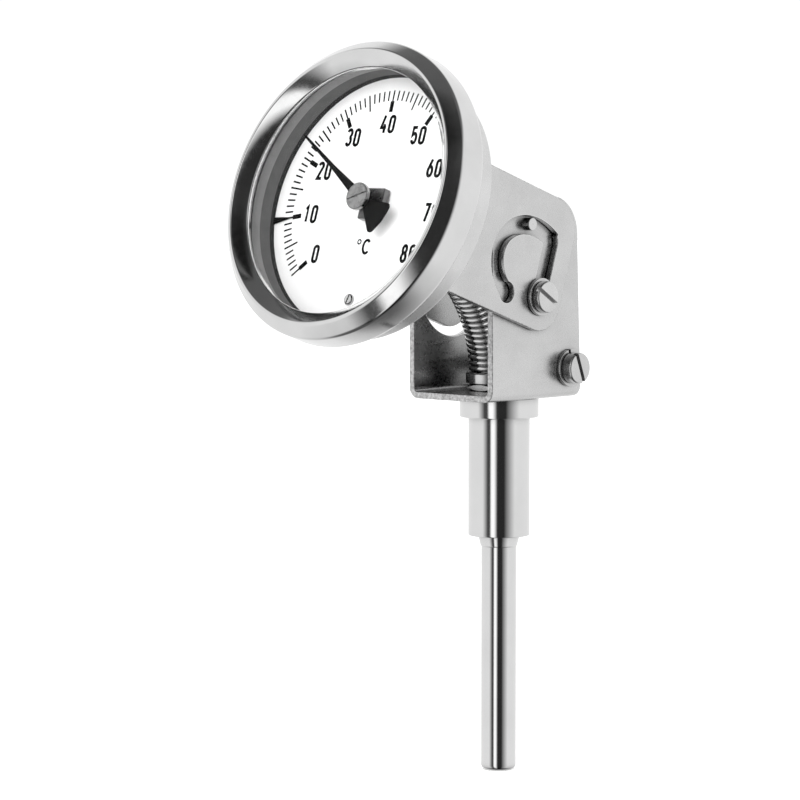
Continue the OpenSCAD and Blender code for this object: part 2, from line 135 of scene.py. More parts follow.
class Paint:
    """A node material with short calls for the nodes it needs."""

    def __init__(self, name):
        self.material = bpy.data.materials.new(name)
        self.material.use_nodes = True
        self.tree = self.material.node_tree
        self.shader = self.tree.nodes["Principled BSDF"]
        self.place = self.add("ShaderNodeTexCoord").outputs["Object"]

    def add(self, kind, **values):
        node = self.tree.nodes.new(kind)
        for name, value in values.items():
            setattr(node, name, value)
        return node

    def link(self, source, target):
        self.tree.links.new(source, target)

    def set(self, **values):
        for name, value in values.items():
            self.shader.inputs[name.replace("_", " ").title()].default_value = value

    def stretched(self, x, y, z):
        node = self.add("ShaderNodeMapping")
        node.inputs["Scale"].default_value = (x, y, z)
        self.link(self.place, node.inputs["Vector"])
        return node.outputs["Vector"]

    def noise(self, scale, detail=4, rough=0.6, vector=None):
        node = self.add("ShaderNodeTexNoise")
        node.inputs["Scale"].default_value = scale
        node.inputs["Detail"].default_value = detail
        node.inputs["Roughness"].default_value = rough
        self.link(vector or self.place, node.inputs["Vector"])
        return node.outputs["Fac"]

    def ramp(self, source, low, high, start=0.3, end=0.7):
        node = self.add("ShaderNodeMapRange")
        for name, value in (("From Min", start), ("From Max", end), ("To Min", low), ("To Max", high)):
            node.inputs[name].default_value = value
        self.link(source, node.inputs["Value"])
        return node.outputs["Result"]

    def colours(self, source, *stops):
        """Colour ramp from (position, grey or colour) pairs."""
        node = self.add("ShaderNodeValToRGB")
        ramp = node.color_ramp
        while len(ramp.elements) < len(stops):
            ramp.elements.new(0.5)
        for element, (position, colour) in zip(ramp.elements, stops):
            element.position = position
            element.color = (colour, colour, colour, 1) if isinstance(colour, float) else (*colour, 1)
        self.link(source, node.inputs["Fac"])
        return node.outputs["Color"]

    def sheltered(self, colour, dark=0.3, reach=4.0):
        """A colour with painted shade: it darkens in corners and gaps, by ambient occlusion."""
        near = self.add("ShaderNodeAmbientOcclusion", samples=6)
        near.inputs["Distance"].default_value = reach * MM
        shade = self.ramp(near.outputs["AO"], dark, 1.0, 0.1, 0.85)
        mix = self.add("ShaderNodeMix", data_type="RGBA", blend_type="MULTIPLY")
        mix.inputs["Factor"].default_value = 1.0
        self.link(colour, mix.inputs["A"])
        self.link(shade, mix.inputs["B"])
        self.link(mix.outputs["Result"], self.shader.inputs["Base Color"])

    def bump(self, height, strength, distance, base=None):
        node = self.add("ShaderNodeBump")
        node.inputs["Strength"].default_value = strength
        node.inputs["Distance"].default_value = distance * MM
        self.link(height, node.inputs["Height"])
        if base:
            self.link(base, node.inputs["Normal"])
        return node.outputs["Normal"]


def metal(name, light, dark, rough, rough_spread, grain, grain_scale, grain_stretch=(1, 1, 1), gap=0.35):
    """Bare metal: colour and roughness wander with a cloud, and a fine grain lifts the surface. Its colour also
    gets painted shade, darkening towards gap in corners and gaps.
    """
    paint = Paint(name)
    paint.set(metallic=1.0)
    cloud = paint.noise(90, 5)
    fine = paint.noise(grain_scale, 3, 0.7, paint.stretched(*grain_stretch))
    # painted shade: the colour darkens in corners and gaps, down to gap times its own
    paint.sheltered(paint.colours(cloud, (0.3, dark), (0.7, light)), gap, 2.5)
    paint.link(paint.ramp(fine, rough - rough_spread, rough + rough_spread), paint.shader.inputs["Roughness"])
    paint.link(paint.bump(fine, grain, 0.02), paint.shader.inputs["Normal"])
    return paint.material


def turned_face():
    """Small turned face with rings about the dial's axis."""
    paint = Paint("turned_face")
    paint.set(metallic=1.0)
    centre = paint.add("ShaderNodeMapping")
    centre.inputs["Location"].default_value = -DIAL * MM
    paint.link(paint.place, centre.inputs["Vector"])
    far = paint.add("ShaderNodeVectorMath", operation="LENGTH")
    paint.link(centre.outputs["Vector"], far.inputs[0])
    scaled = paint.add("ShaderNodeMath", operation="MULTIPLY")
    scaled.inputs[1].default_value = 9000
    paint.link(far.outputs["Value"], scaled.inputs[0])
    wave = paint.add("ShaderNodeMath", operation="SINE")
    paint.link(scaled.outputs["Value"], wave.inputs[0])
    grit = paint.noise(900, 4)
    paint.link(paint.colours(grit, (0.3, 0.24), (0.7, 0.46)), paint.shader.inputs["Base Color"])
    paint.link(paint.ramp(grit, 0.24, 0.4), paint.shader.inputs["Roughness"])
    rings = paint.bump(wave.outputs["Value"], 0.5, 0.03)
    paint.link(paint.bump(grit, 0.3, 0.03, rings), paint.shader.inputs["Normal"])
    return paint.material


def satin_sheet():
    """Rolled stainless sheet with the fine mottle of its 2B finish, and painted shade that darkens it in corners
    and gaps.
    """
    paint = Paint("satin_sheet")
    paint.set(metallic=1.0)
    cloud = paint.noise(70, 6, 0.65)
    speck = paint.noise(1500, 3, 0.75)
    streak = paint.noise(500, 3, 0.6, paint.stretched(1, 0.12, 1))
    mottle = paint.add("ShaderNodeMath", operation="ADD")
    paint.link(speck, mottle.inputs[0])
    paint.link(streak, mottle.inputs[1])
    tone = paint.add("ShaderNodeMix", data_type="RGBA", blend_type="MULTIPLY")
    tone.inputs["Factor"].default_value = 1.0
    paint.link(paint.colours(cloud, (0.35, 0.56), (0.65, 0.62)), tone.inputs["A"])
    paint.link(paint.colours(speck, (0.3, 0.93), (0.7, 1.0)), tone.inputs["B"])
    # painted shade: darkens the sheet colour to a fifth in corners and gaps within 11 mm
    paint.sheltered(tone.outputs["Result"], 0.2, 11.0)
    paint.link(paint.ramp(mottle.outputs["Value"], 0.2, 0.36, 0.7, 1.3), paint.shader.inputs["Roughness"])
    paint.link(paint.bump(mottle.outputs["Value"], 0.25, 0.02), paint.shader.inputs["Normal"])
    return paint.material


def sheared_edge():
    """Cut edge of the sheet, with the torn grain that shearing leaves."""
    paint = Paint("sheared_edge")
    paint.set(metallic=1.0)
    tear = paint.noise(1500, 5, 0.8)
    paint.link(paint.colours(tear, (0.35, 0.3), (0.62, 0.7)), paint.shader.inputs["Base Color"])
    paint.link(paint.ramp(tear, 0.5, 0.25), paint.shader.inputs["Roughness"])
    paint.link(paint.bump(tear, 0.8, 0.08), paint.shader.inputs["Normal"])
    return paint.material


def painted(name, light, dark, rough, scale=400, lift=0.15, gloss=0.1):
    """Lacquer or print with a faint orange peel."""
    paint = Paint(name)
    paint.shader.inputs["Specular IOR Level"].default_value = gloss
    skin = paint.noise(scale, 3)
    paint.link(paint.colours(skin, (0.3, dark), (0.7, light)), paint.shader.inputs["Base Color"])
    paint.link(paint.ramp(skin, rough - 0.05, rough + 0.05), paint.shader.inputs["Roughness"])
    paint.link(paint.bump(skin, lift, 0.01), paint.shader.inputs["Normal"])
    return paint.material


def window():
    """Flat glass: clear, with a mirror film that grows at the edges of sight."""
    paint = Paint("window")
    clear = paint.add("ShaderNodeBsdfTransparent")
    film = paint.add("ShaderNodeBsdfGlossy")
    film.inputs["Roughness"].default_value = 0.02
    smear = paint.noise(60, 2)
    paint.link(paint.colours(smear, (0.3, 0.97), (0.7, 1.0)), clear.inputs["Color"])
    fresnel = paint.add("ShaderNodeFresnel")
    fresnel.inputs["IOR"].default_value = 1.08
    mix = paint.add("ShaderNodeMixShader")
    paint.link(fresnel.outputs["Fac"], mix.inputs["Fac"])
    paint.link(clear.outputs["BSDF"], mix.inputs[1])
    paint.link(film.outputs["BSDF"], mix.inputs[2])
    paint.link(mix.outputs["Shader"], paint.tree.nodes["Material Output"].inputs["Surface"])
    return paint.material


M = {
    "satin": satin_sheet(),
    "edge": sheared_edge(),
    # rims round the holes in the sheets: burnished and smoother, and lighter in colour than the sheet as a painted
    # highlight along the rim
    "rim": metal("burnished_rim_painted_highlight", 0.75, 0.6, 0.22, 0.05, 0.1, 900),
    "polished": metal("polished_steel", 0.68, 0.64, 0.09, 0.02, 0.03, 900, (1, 1, 0.05)),
    "bezel": metal("bezel_steel", 0.69, 0.63, 0.13, 0.03, 0.03, 700),
    "cup": metal("cup_steel", 0.68, 0.6, 0.3, 0.06, 0.1, 900),
    "turned": metal("turned_steel", 0.66, 0.58, 0.2, 0.06, 0.12, 900, (1, 1, 4)),
    "hub": turned_face(),
    "dark_steel": metal("dark_steel", 0.2, 0.12, 0.3, 0.06, 0.12, 900),
    "screw": metal("screw_steel", 0.66, 0.54, 0.24, 0.07, 0.15, 1100),
    "wire": metal("spring_wire", 0.66, 0.58, 0.16, 0.04, 0.08, 1200),
    "brass": metal("dull_brass", (0.78, 0.62, 0.33), (0.66, 0.5, 0.25), 0.3, 0.06, 0.1, 900),
    "white": painted("dial_lacquer", 0.88, 0.86, 0.5),
    "print": painted("dial_print", 0.004, 0.002, 0.6),
    "black": painted("pointer_lacquer", 0.005, 0.002, 0.5),
    "grey": painted("spacer_lacquer", 0.12, 0.1, 0.5),
    "light_grey": painted("spacer_upper", 0.27, 0.23, 0.5),
    # black rubber of the glass gasket; also the black band of painted shade at the foot of the spacer
    "black_seal_and_gap_shade": painted("black_rubber_and_gap_shade", 0.035, 0.02, 0.65, 700, 0.4),
    "glass": window(),
}


# ---------------------------------------------------------------- mesh helpers


def finished(name, bm):
    """Mesh with its faces outwards, from a bmesh that is no longer needed."""
    bmesh.ops.recalc_face_normals(bm, faces=bm.faces)
    mesh = bpy.data.meshes.new(name)
    bm.to_mesh(mesh)
    bm.free()
    return mesh


def piece(name, mesh, body, materials, place=None, replaces=(), sharp=35, even=False):
    """Turns a mesh in millimetres into a piece that rides on a body."""
    mesh.transform(Matrix.Scale(MM, 4) @ (place or STEM))
    for material in materials:
        mesh.materials.append(M[material])
    mesh.shade_smooth()
    mesh.set_sharp_from_angle(angle=math.radians(sharp))
    made = bpy.data.objects.new(name, mesh)
    bpy.context.scene.collection.objects.link(made)
    if even:
        normals = made.modifiers.new("even_normals", "WEIGHTED_NORMAL")
        normals.keep_sharp = True
    if body:
        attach(made, body)
    if replaces:
        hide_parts(*replaces)
    return made


def arc(centre, radius, start, end, steps=12):
    """Points along an arc, angles in degrees."""
    turns = [math.radians(start + (end - start) * i / steps) for i in range(steps + 1)]
    return [(centre[0] + radius * math.cos(a), centre[1] + radius * math.sin(a)) for a in turns]


def circle(centre, radius, steps=64):
    """Points of a full circle, without a double one."""
    return arc(centre, radius, 0, 360 - 360 / steps, steps - 1)


def soften(points, radius, steps=4, closed=True):
    """Rounds the corners of an outline, each with a short curve."""
    made = []
    count = len(points)
    for i, point in enumerate(points):
        here = Vector(point)
        if not closed and i in (0, count - 1):
            made.append(tuple(here))
            continue
        before, after = Vector(points[i - 1]) - here, Vector(points[(i + 1) % count]) - here
        cut = min(radius, before.length / 2.05, after.length / 2.05)
        if cut < 1e-4 or before.angle(after) > math.radians(165):
            made.append(tuple(here))
            continue
        start, end = here + before.normalized() * cut, here + after.normalized() * cut
        for k in range(steps + 1):
            t = k / steps
            made.append(tuple(start * (1 - t) ** 2 + here * 2 * t * (1 - t) + end * t * t))
    return made


def lathe(name, outline, steps=160):
    """Solid of revolution about Z from a closed outline of (radius, height)."""
    bm = bmesh.new()
    turn = [2 * math.pi * k / steps for k in range(steps)]
    rings = []
    for radius, height in outline:
        if radius < 1e-4:
            rings.append([bm.verts.new((0, 0, height))])
        else:
            rings.append([bm.verts.new((radius * math.cos(a), radius * math.sin(a), height)) for a in turn])
    for ring, other in zip(rings, rings[1:] + rings[:1]):
        if len(ring) == 1 and len(other) == 1:
            continue
        for k in range(steps):
            corners = [ring[k % len(ring)], ring[(k + 1) % len(ring)]]
            corners += [other[(k + 1) % len(other)], other[k % len(other)]]
            bm.faces.new(list(dict.fromkeys(corners)))
    return finished(name, bm)


def loft(bm, rings, closed=True):
    """Skins a row of equally long rings of vertices."""
    for ring, other in zip(rings, rings[1:]):
        for k in range(len(ring) if closed else len(ring) - 1):
            follow = (k + 1) % len(ring)
            bm.faces.new((ring[k], ring[follow], other[follow], other[k]))


def slab(name, outline, low, high, edge=0.06, holes=()):
    """Plate of a flat outline between two heights, with its edges broken."""
    bm = bmesh.new()
    skins = {low: [], high: []}
    for loop in (outline, *holes):
        outwards = -1 if loop is outline else 1
        levels = [(low, edge), (low + edge, 0), (high - edge, 0), (high, edge)]
        rings = [[bm.verts.new((*p, z)) for p in inset(loop, outwards * cut)] for z, cut in levels]
        loft(bm, rings)
        skins[low].append(rings[0])
        skins[high].append(rings[-1])
    for loops in skins.values():
        fill(bm, loops)
    return finished(name, bm)


def fill(bm, loops):
    """Fills an outer loop of vertices, less the loops inside it."""
    flat = [v for loop in loops for v in loop]
    for corners in tessellate_polygon([[Vector((*v.co.xy, 0)) for v in loop] for loop in loops]):
        bm.faces.new([flat[i] for i in corners])


def turning(points):
    """Positive where the loop runs anticlockwise."""
    return sum(a[0] * b[1] - b[0] * a[1] for a, b in zip(points, points[1:] + points[:1]))


def inset(points, away):
    """Moves every point of a loop outwards, or inwards where away is negative."""
    sign = 1 if turning(points) > 0 else -1
    moved = []
    for i, point in enumerate(points):
        here = Vector(point)
        before, after = here - Vector(points[i - 1]), Vector(points[(i + 1) % len(points)]) - here
        if before.length < 1e-6 or after.length < 1e-6:
            before = after = before + after
        before, after = before.normalized(), after.normalized()
        side = Vector((before.y + after.y, -before.x - after.x))
        if side.length < 1e-6:
            moved.append(tuple(here))
            continue
        side.normalize()
        lean = max(0.5, side.dot(Vector((before.y, -before.x))))
        moved.append(tuple(here + side * sign * away / lean))
    return moved


def outline_of(shapes):
    """Outer loop of overlapping shapes."""
    points = [Vector(p) for shape in shapes for p in shape]
    faces, first = [], 0
    for shape in shapes:
        faces.append(list(range(first, first + len(shape))))
        first += len(shape)
    spots, _, cells, *_ = delaunay_2d_cdt(points, [], faces, 1, 1e-5)
    follow = {}
    for cell in cells:
        for a, b in zip(cell, cell[1:] + cell[:1]):
            if (b, a) in follow:
                del follow[b, a]
            else:
                follow[a, b] = True
    ahead = dict(follow.keys())
    start = next(iter(ahead))
    loop = [start]
    while ahead[loop[-1]] != start:
        loop.append(ahead[loop[-1]])
    return [tuple(spots[i]) for i in loop]


def cut(mesh, cutters):
    """Takes other closed meshes away from a mesh."""
    body = bpy.data.objects.new("cut_body", mesh)
    bpy.context.scene.collection.objects.link(body)
    tools = []
    for cutter in cutters:
        tool = bpy.data.objects.new("cut_tool", cutter)
        bpy.context.scene.collection.objects.link(tool)
        step = body.modifiers.new("cut", "BOOLEAN")
        step.operation = "DIFFERENCE"
        step.solver = "EXACT"
        step.object = tool
        tools.append(tool)
    bpy.context.view_layer.update()
    made = bpy.data.meshes.new_from_object(body.evaluated_get(bpy.context.evaluated_depsgraph_get()))
    for thing in [body, *tools]:
        bpy.data.objects.remove(thing)
    return made


def block(low, high, turn=0):
    """Box between two corners, turned about Z."""
    bm = bmesh.new()
    bmesh.ops.create_cube(bm, size=1)
    low, high = Vector(low), Vector(high)
    for v in bm.verts:
        v.co = Vector(a + (b - a) * (c + 0.5) for a, b, c in zip(low, high, v.co))
    bmesh.ops.rotate(bm, verts=bm.verts, matrix=Matrix.Rotation(math.radians(turn), 3, "Z"))
    return finished("block", bm)


def facing_x(x, y, z):
    """Place whose local Z looks along +X, with its local X along +Y."""
    return Matrix(((0, 0, 1, x), (1, 0, 0, y), (0, 1, 0, z), (0, 0, 0, 1)))


# ---------------------------------------------------------------- stem and seat


def stem():
    """Collar, sleeve and the cone down to the thin stem, turned in one."""
    sleeve_low = -27
    outline = soften([(0, 9.4), (5, 9.4), (5, 4.5), (9, 4.5), (9, 0), (7, 0), (7, sleeve_low),
                      (4.75, sleeve_low), (4.15, -29.5), (3.5, -29.5), (0, -29.5)], 0.3)
    piece("stem_sleeve", lathe("stem_sleeve", outline, 224), "stem", ["polished"],
          replaces=["stem_body"])
    outline = soften([(0, -28), (4, -28), (4, STEM_TIP), (0, STEM_TIP)], 1.1, 8)
    piece("stem_tube", lathe("stem_tube", outline, 192), "stem", ["polished"],
          replaces=["immersion_tube"])


def seat():
    """Turned ring under the spring, with the short plug that centres the coil."""
    low, high = 7.7, SPRING_LOW
    outline = soften([(0, low), (7.55, low), (7.55, high - 0.35), (7.2, high), (5.7, high),
                      (5.6, high + 2.6), (5.1, high + 3), (0, high + 3)], 0.12)
    piece("spring_seat_turned", lathe("spring_seat_turned", outline, 128), "stem", ["turned"],
          replaces=["spring_seat"])


# ---------------------------------------------------------------- folded sheet


class Fold:
    """Flat pattern of a U-shaped sheet and its fold, with the floor's outer face at height 0."""

    def __init__(self, half):
        self.half = half
        self.floor = half - BEND
        self.neutral = BEND - SHEET / 2
        self.bend = self.neutral * math.pi / 2

    def along(self, height):
        """Distance along the pattern, from the middle of the floor, of a height up the wall."""
        return self.floor + self.bend + height - BEND

    def folded(self, s, v, n):
        """Place of a point of the pattern: across, along the fold, and up."""
        side = 1 if s > 0 else -1
        past = abs(s) - self.floor
        if past <= 0:
            return s, v, SHEET / 2 - n
        if past < self.bend:
            angle = past / self.neutral
            reach = self.neutral + n
            return side * (self.floor + reach * math.sin(angle)), v, BEND - reach * math.cos(angle)
        return side * (self.half - SHEET / 2 + n), v, BEND + past - self.bend

    def mesh(self, name, outline, holes):
        """Folded sheet. Faces are 0 on the skins, 1 on the outer edge and 2 round the holes."""
        bm = bmesh.new()
        half = SHEET / 2
        levels = [(-half, RIM)]
        for a in (0.5, 1.0):
            levels.append((-half + RIM * (1 - math.cos(a)), RIM * (1 - math.sin(a))))
        levels.append((-half + RIM, 0))
        levels += [(-n, c) for n, c in reversed(levels)]
        skins = {-half: [], half: []}
        for number, loop in enumerate((outline, *holes)):
            outwards = -1 if number == 0 else 1
            rings = [[bm.verts.new((*p, n)) for p in inset(loop, outwards * c)] for n, c in levels]
            before = set(bm.faces)
            loft(bm, rings)
            for face in set(bm.faces) - before:
                face.material_index = 1 if number == 0 else 2
            skins[-half].append(rings[0])
            skins[half].append(rings[-1])
        for loops in skins.values():
            fill(bm, loops)
        bends = 10
        for side in (-1, 1):
            for k in range(bends + 1):
                at = side * (self.floor + self.bend * k / bends)
                everything = list(bm.verts) + list(bm.edges) + list(bm.faces)
                bmesh.ops.bisect_plane(bm, geom=everything, plane_co=(at, 0, 0), plane_no=(1, 0, 0))
        for v in bm.verts:
            v.co = self.folded(*v.co)
        return finished(name, bm)


def mirrored_pattern(fold, wall):
    """Whole flat pattern from one wall's outline of (along, height), run from its front to its back."""
    ahead = [(fold.along(height), v) for v, height in wall]
    return ahead + [(-s, v) for s, v in reversed(ahead)]


def fixed_bracket():
    """U bracket with rounded tops and one round opening in its left wall."""
    low, high = size("fixed_bracket")
    fold = Fold(high.x)
    floor = low.z
    corner = 8.7
    lean = 1.3
    top = high.z - floor - corner
    wall = [(low.y, BEND + 0.01), *arc((low.y + corner, top), corner, 180, 90, 14),
            *arc((high.y - lean - corner, top), corner, 90, 0, 14), (high.y, BEND + 0.01)]
    pattern = mirrored_pattern(fold, wall)
    opening = [(-fold.along(z - floor), y) for y, z in circle(BRACKET_OPENING, BRACKET_OPENING_R, 96)]
    mesh = fold.mesh("bracket_sheet", pattern, [opening])
    place = Matrix.Translation((0, 0, floor))
    piece("bracket_sheet", mesh, "stem", ["satin", "edge", "rim"], place,
          replaces=["fixed_bracket"], even=True)


def pin_way(tilt):
    """Centre of the guide pin on the arm, as (up, out) in the case's frame, at a tilt of the dial."""
    clamp = in_case(CLAMP)
    apart = (GUIDE_PIN - CLAMP).length
    lean = math.atan2(CLAMP.y - GUIDE_PIN.y, GUIDE_PIN.z - CLAMP.z)
    angle = math.pi / 2 - math.radians(tilt) - lean
    up = clamp.y + CLIMB * (tilt - TILT) + apart * math.sin(angle)
    return Vector((up, clamp.z + apart * math.cos(angle)))


def way_side(tilt, away):
    """Point beside the guide pin's way, at a distance from its middle."""
    step = (pin_way(tilt + 0.5) - pin_way(tilt - 0.5)).normalized()
    return tuple(pin_way(tilt) + away * Vector((-step.y, step.x)))


def horseshoe():
    """Loop of the slot: a curve round the clamp, an end pocket and a straight leg for the clamp."""
    steps, start = 56, -13
    tilts = [start + (TILT_MAX - start) * i / steps for i in range(steps + 1)]
    room = [max(0, min(1, 1 - t / 60)) for t in tilts]
    curve = [way_side(t, 1.95 + 0.65 * more) for t, more in zip(tilts, room)]
    curve += [way_side(t, -1.95 + 0.25 * more) for t, more in reversed(list(zip(tilts, room)))]
    pocket = circle(tuple(pin_way(TILT_MAX)), 2.35, 48)
    clamp = in_case(CLAMP)
    low, high = clamp.y - CLIMB * TILT, clamp.y + CLIMB * (TILT_MAX - TILT) + 2.4
    leg = arc((low, clamp.z), 2.35, 90, 270, 20) + arc((high, clamp.z), 2.35, -90, 90, 20)
    return outline_of([curve, pocket, leg])


def case_bracket():
    """U bracket on the back of the case, with the horseshoe slot in its right arm."""
    fold = Fold(ARM_HALF_WIDE)
    half_high = 15.2
    reach = 51.7 + CUP_BACK
    low_r, top_r = 7, 8
    wall = [(-half_high, BEND + 0.01), *arc((-half_high + low_r, reach - low_r), low_r, 180, 90, 12),
            *arc((half_high - top_r, reach - top_r), top_r, 90, 0, 12), (half_high, BEND + 0.01)]
    pattern = mirrored_pattern(fold, wall)
    slot = [(fold.along(CUP_BACK - h), q) for q, h in horseshoe()]
    mesh = fold.mesh("arm_sheet", pattern, [slot])
    mesh.transform(Matrix.Translation((0, 0, CUP_BACK)) @ Matrix.Diagonal((1, 1, -1, 1)))
    mesh.flip_normals()
    piece("arm_sheet", mesh, "case", ["satin", "edge", "rim"], CASE,
          replaces=["case_bracket"], even=True)


# ---------------------------------------------------------------- screws, washers and nuts


def slotted_screw(name, body, node, place, high, turn, reach):
    """Cheese head with a driver slot, standing on local Z, and its shank below."""
    radius = 3.5
    outline = soften([(0, high), (radius - 0.25, high), (radius, high - 0.3), (radius, 0), (2, 0),
                      (2, -reach), (0, -reach)], 0.16)
    head = lathe(name, outline, 96)
    slot = block((-5, -0.5, high - 0.95), (5, 0.5, high + 1), turn)
    piece(name, cut(head, [slot]), body, ["screw"], place, replaces=[node], even=True)


def split_washer(name, body, node, place, turn):
    """Spring washer: square wire once round, with its ends a little apart."""
    bm = bmesh.new()
    steps, gap, rise = 72, 9, 0.14
    section = soften([(2.2, 0), (4.2, 0), (4.2, 0.86), (2.2, 0.86)], 0.12, 3)
    rings = []
    for k in range(steps + 1):
        a = math.radians(turn + gap / 2 + (360 - gap) * k / steps)
        lift = rise * k / steps
        rings.append([bm.verts.new((r * math.cos(a), r * math.sin(a), h + lift)) for r, h in section])
    loft(bm, rings)
    bm.faces.new(rings[0])
    bm.faces.new(rings[-1])
    piece(name, finished(name, bm), body, ["screw"], place, replaces=[node], even=True)


def hex_nut(name, body, node, place, across, high, bore):
    """Nut with its corners chamfered both ways, standing on local Z."""
    bm = bmesh.new()
    steps = 96
    columns = []
    face_r = across / 2 * 0.96
    for k in range(steps):
        a = 2 * math.pi * k / steps
        radius = across / 2 / math.cos((a % (math.pi / 3)) - math.pi / 6)
        drop = (radius - face_r) * math.tan(math.radians(30))
        section = [(bore, 0.2), (bore + 0.2, 0), (face_r, 0), (radius, drop), (radius, high - drop),
                   (face_r, high), (bore + 0.2, high), (bore, high - 0.2)]
        columns.append([bm.verts.new((r * math.cos(a), r * math.sin(a), h)) for r, h in section])
    loft(bm, columns + columns[:1])
    piece(name, finished(name, bm), body, ["screw"], place, replaces=[node], sharp=25)


def fasteners():
    """Screws, washers, nuts and the guide pin, each standing on its own place."""
    clamp = (CLAMP.y, CLAMP.z)
    slotted_screw("clamp_screw_head", "clamp_screw", "clamp_screw", facing_x(ARM_HALF_WIDE + 1.1, *clamp),
                  1.7, -32, 6.2)
    split_washer("clamp_washer_split", "stem", "clamp_washer", facing_x(ARM_HALF_WIDE + 0.05, *clamp), 20)
    hex_nut("clamp_nut_hex", "stem", "clamp_nut", facing_x(8.6, *clamp), 7, 2.4, 2.05)

    low, high = size("cross_bolt_washers")
    bolt = ((low.y + high.y) / 2, (low.z + high.z) / 2)
    slotted_screw("cross_bolt_head", "stem", "cross_bolt", facing_x(high.x, *bolt), 2.6, 111, 29)
    split_washer("cross_bolt_washer_split", "stem", "cross_bolt_washers", facing_x(low.x, *bolt), 100)
    hex_nut("cross_bolt_nut_hex", "stem", "cross_bolt_nut", facing_x(-low.x - 2.4, *bolt), 7, 2.4, 2.02)

    low = size("lock_nut")[0]
    hex_nut("lock_nut_hex", "stem", "lock_nut", Matrix.Translation((0, 0, low.z)), 13.3, 1.6, 5.05)
    place = CASE @ Matrix.Translation((0, 0, CUP_BACK + CUP_WALL))
    hex_nut("case_nut_hex", "case", "case_nut", place, 14, 2.2, 5.05)

    low, high = size("guide_pin")
    long = high.x - low.x
    pin = soften([(0, 0), (1.9, 0), (1.9, 0.5), (1.4, 0.5), (1.4, long), (0, long)], 0.14)
    middle = (low + high) / 2
    piece("guide_pin_turned", lathe("guide_pin_turned", pin, 48), "stem", ["turned"],
          facing_x(low.x, middle.y, middle.z), replaces=["guide_pin"])


# ---------------------------------------------------------------- spring tube


def spring_line(s):
    """Point of the spring's centre line and its slope from upright, at a distance along it."""
    steps = 60
    at = Vector((0, 0, SPRING_LOW))
    bend = math.radians(90 - TILT)

    def slope(d):
        u = d / SPRING_LONG
        return bend * (u + REST_SLOPE * (u * u - u))

    for k in range(steps):
        angle = slope(s * (k + 0.5) / steps)
        at += Vector((0, -math.sin(angle), math.cos(angle))) * s / steps
    return at, slope(s)


def coil(name, low, high, coil_r, wire_r, pitch, per_turn, sides):
    """Part of a helical wire round the spring's centre line."""
    bm = bmesh.new()
    count = round((high - low) / pitch * per_turn)
    rings = []
    for k in range(count + 1):
        s = low + (high - low) * k / count
        centre, slope = spring_line(s)
        side = Vector((0, math.cos(slope), math.sin(slope)))
        ahead = Vector((0, -math.sin(slope), math.cos(slope)))
        turn = 2 * math.pi * s / pitch
        spoke = Vector((1, 0, 0)) * math.cos(turn) + side * math.sin(turn)
        ring = []
        for j in range(sides):
            a = 2 * math.pi * j / sides
            out = spoke * (coil_r + wire_r * math.cos(a))
            ring.append(bm.verts.new(centre + out + ahead * wire_r * math.sin(a)))
        rings.append(ring)
    loft(bm, rings)
    bm.faces.new(rings[0])
    bm.faces.new(rings[-1])
    return finished(name, bm)


def spring():
    """Six lengths of wire, each laid along the spring's curved line from one link of the spring to the next."""
    step = SPRING_LONG / LINKS
    for i in range(1, LINKS + 1):
        low, high = (i - 1) * step, i * step
        start, end = spring_line(low)[0] * MM, spring_line(high)[0] * MM
        wire_low = low + WIRE_R * (i == 1)
        wire_high = high - WIRE_R * (i == LINKS)
        outer = coil(f"spring_wire_{i}", wire_low, wire_high, COIL_R, WIRE_R, COIL_PITCH, 40, 12)
        inner = coil(f"flex_wire_{i}", low, high, 1.02, 0.23, 0.5, 14, 6)
        for mesh, node, material, slot in ((outer, "spring", "wire", "spring_steel"),
                                           (inner, "flex_shaft", "turned", "turned_steel")):
            nodes = [f"{node}_{i}"] + ([f"{node}_0"] if i == 1 else [])
            made = piece(mesh.name, mesh, None, [material], replaces=nodes, sharp=180)
            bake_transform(made)


# ---------------------------------------------------------------- case


def bezel():
    """Sheet ring rolled over the glass and under the cup's flange."""
    peak_r, shoulder_r = BEZEL_R - 2.86, BEZEL_R - 1.5
    outline = [(LIP_R + 1.1, 7.05), (LIP_R, 8.95), (LIP_R - 0.1, 9.3), (LIP_R - 0.05, 9.6)]
    outline += [(LIP_R + 0.1, 9.85)]
    outline += arc((peak_r, 11.5), 0.7, 130, 42, 16)
    outline += arc((shoulder_r, 8.92), 1.5, 42, 2, 12)
    outline += arc((shoulder_r, 3.9), 1.5, -2, -90, 12)
    outline += [(30.15, 2.4), (30.15, 4.5), (31.65, 4.5), (31.65, 7.05)]
    piece("bezel_rolled", lathe("bezel_rolled", outline, 256), "case", ["bezel"], CASE,
          replaces=["bezel_ring"], sharp=60)


def cup():
    """Drawn cup of the case with its flange."""
    front = 5.4
    outline = soften([(5.05, CUP_BACK + CUP_WALL), (5.05, CUP_BACK), (CUP_R, CUP_BACK),
                      (CUP_R, front - CUP_WALL), (CUP_R + 1.6, front - CUP_WALL), (CUP_R + 1.6, front),
                      (CUP_R - CUP_WALL, front), (CUP_R - CUP_WALL, CUP_BACK + CUP_WALL)], 0.9, 6)
    piece("case_cup", lathe("case_cup", outline, 224), "case", ["cup"], CASE,
          replaces=["case_shell"])


def socket():
    """Threaded socket behind the cup, which holds the spring's upper end."""
    outline = soften([(2.6, -1.5), (2.6, -12.2), (7.9, -12.2), (7.9, -17.4), (8.8, -17.4), (8.8, -6.3),
                      (5, -6.3), (5, -1.5)], 0.2)
    piece("case_socket_turned", lathe("case_socket_turned", outline, 128), "case", ["turned"], CASE,
          replaces=["case_socket"])


